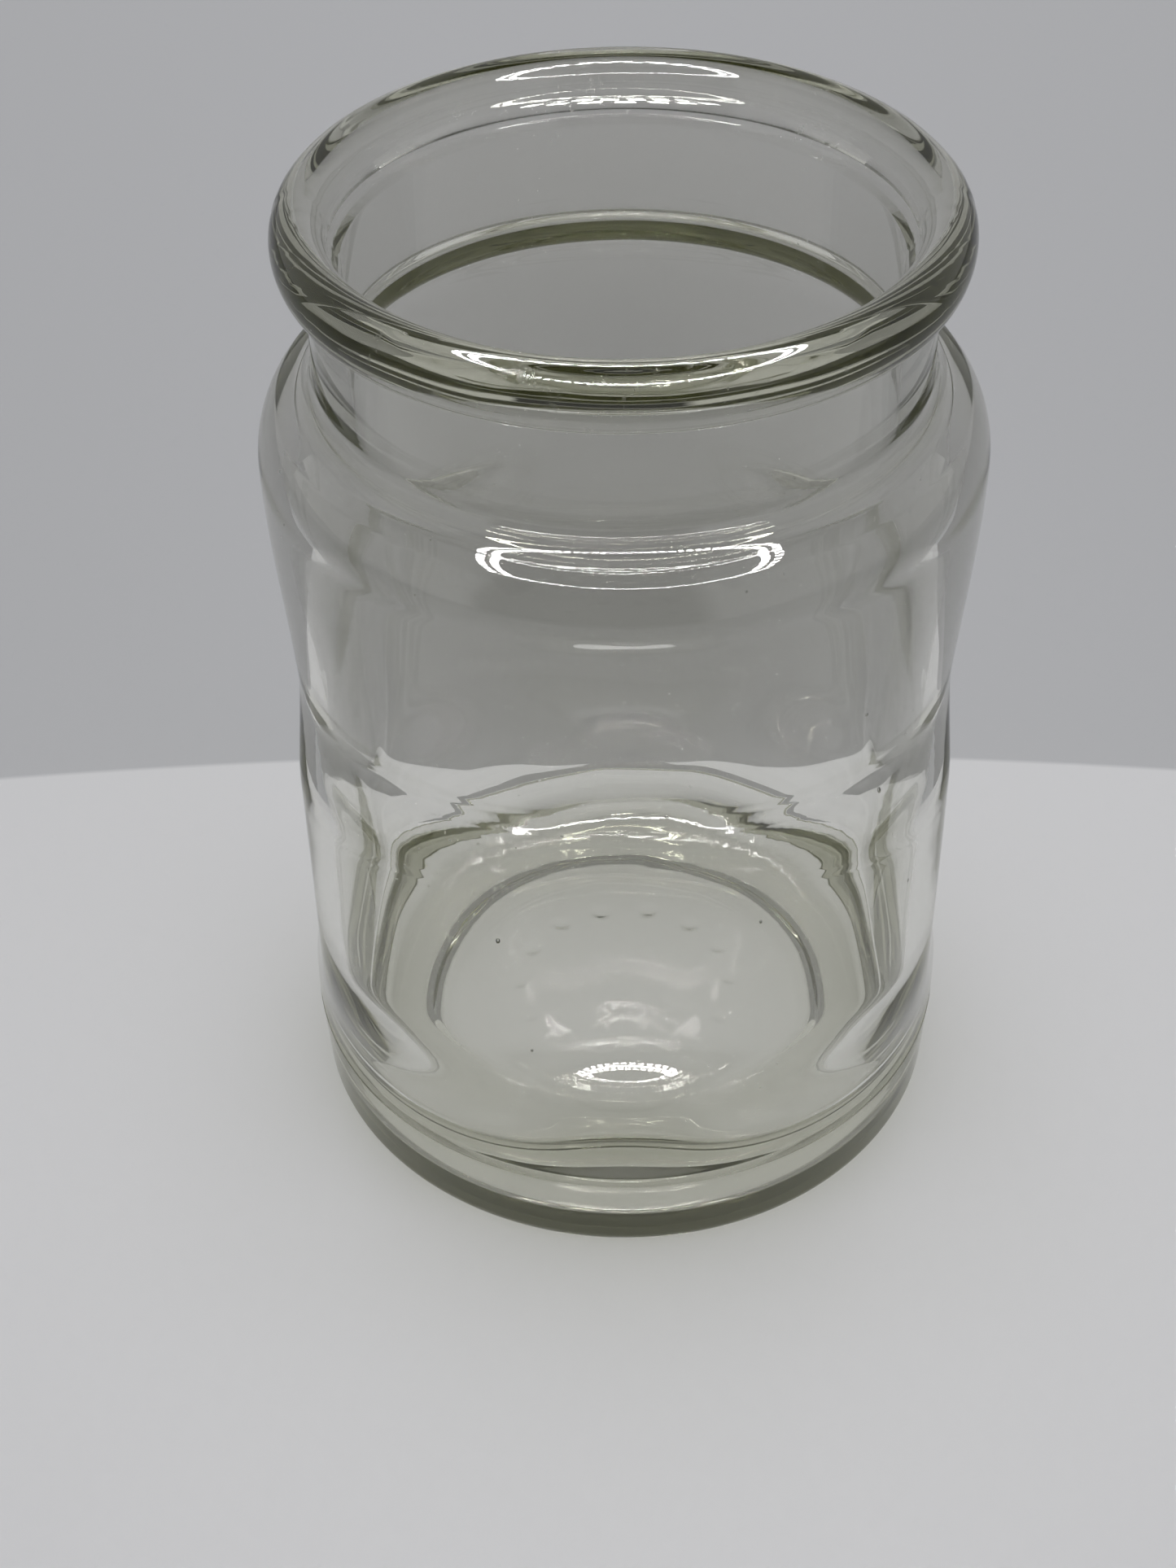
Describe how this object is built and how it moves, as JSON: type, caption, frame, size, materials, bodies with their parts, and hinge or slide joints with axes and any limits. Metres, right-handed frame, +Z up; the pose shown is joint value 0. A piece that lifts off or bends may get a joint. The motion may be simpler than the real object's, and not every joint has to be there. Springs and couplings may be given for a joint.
{
  "type": "specimen jar",
  "caption": "Open wide-mouth clear glass specimen jar, rounded-square body on a round foot, short neck and rolled bead rim.",
  "frame": {"origin": "centre of the resting face, under the jar's axis", "axes": "+Z up along the jar's axis to the mouth, X and Y square to the body's four panels"},
  "size_m": [0.0894, 0.0894, 0.135],
  "materials": {
    "clear_glass": "clear pressed glass with a faint olive tint where it is thick, fine wear on the rim"
  },
  "bodies": {
    "root": {"glass_jar": "clear_glass"}
  },
  "joints": []
}
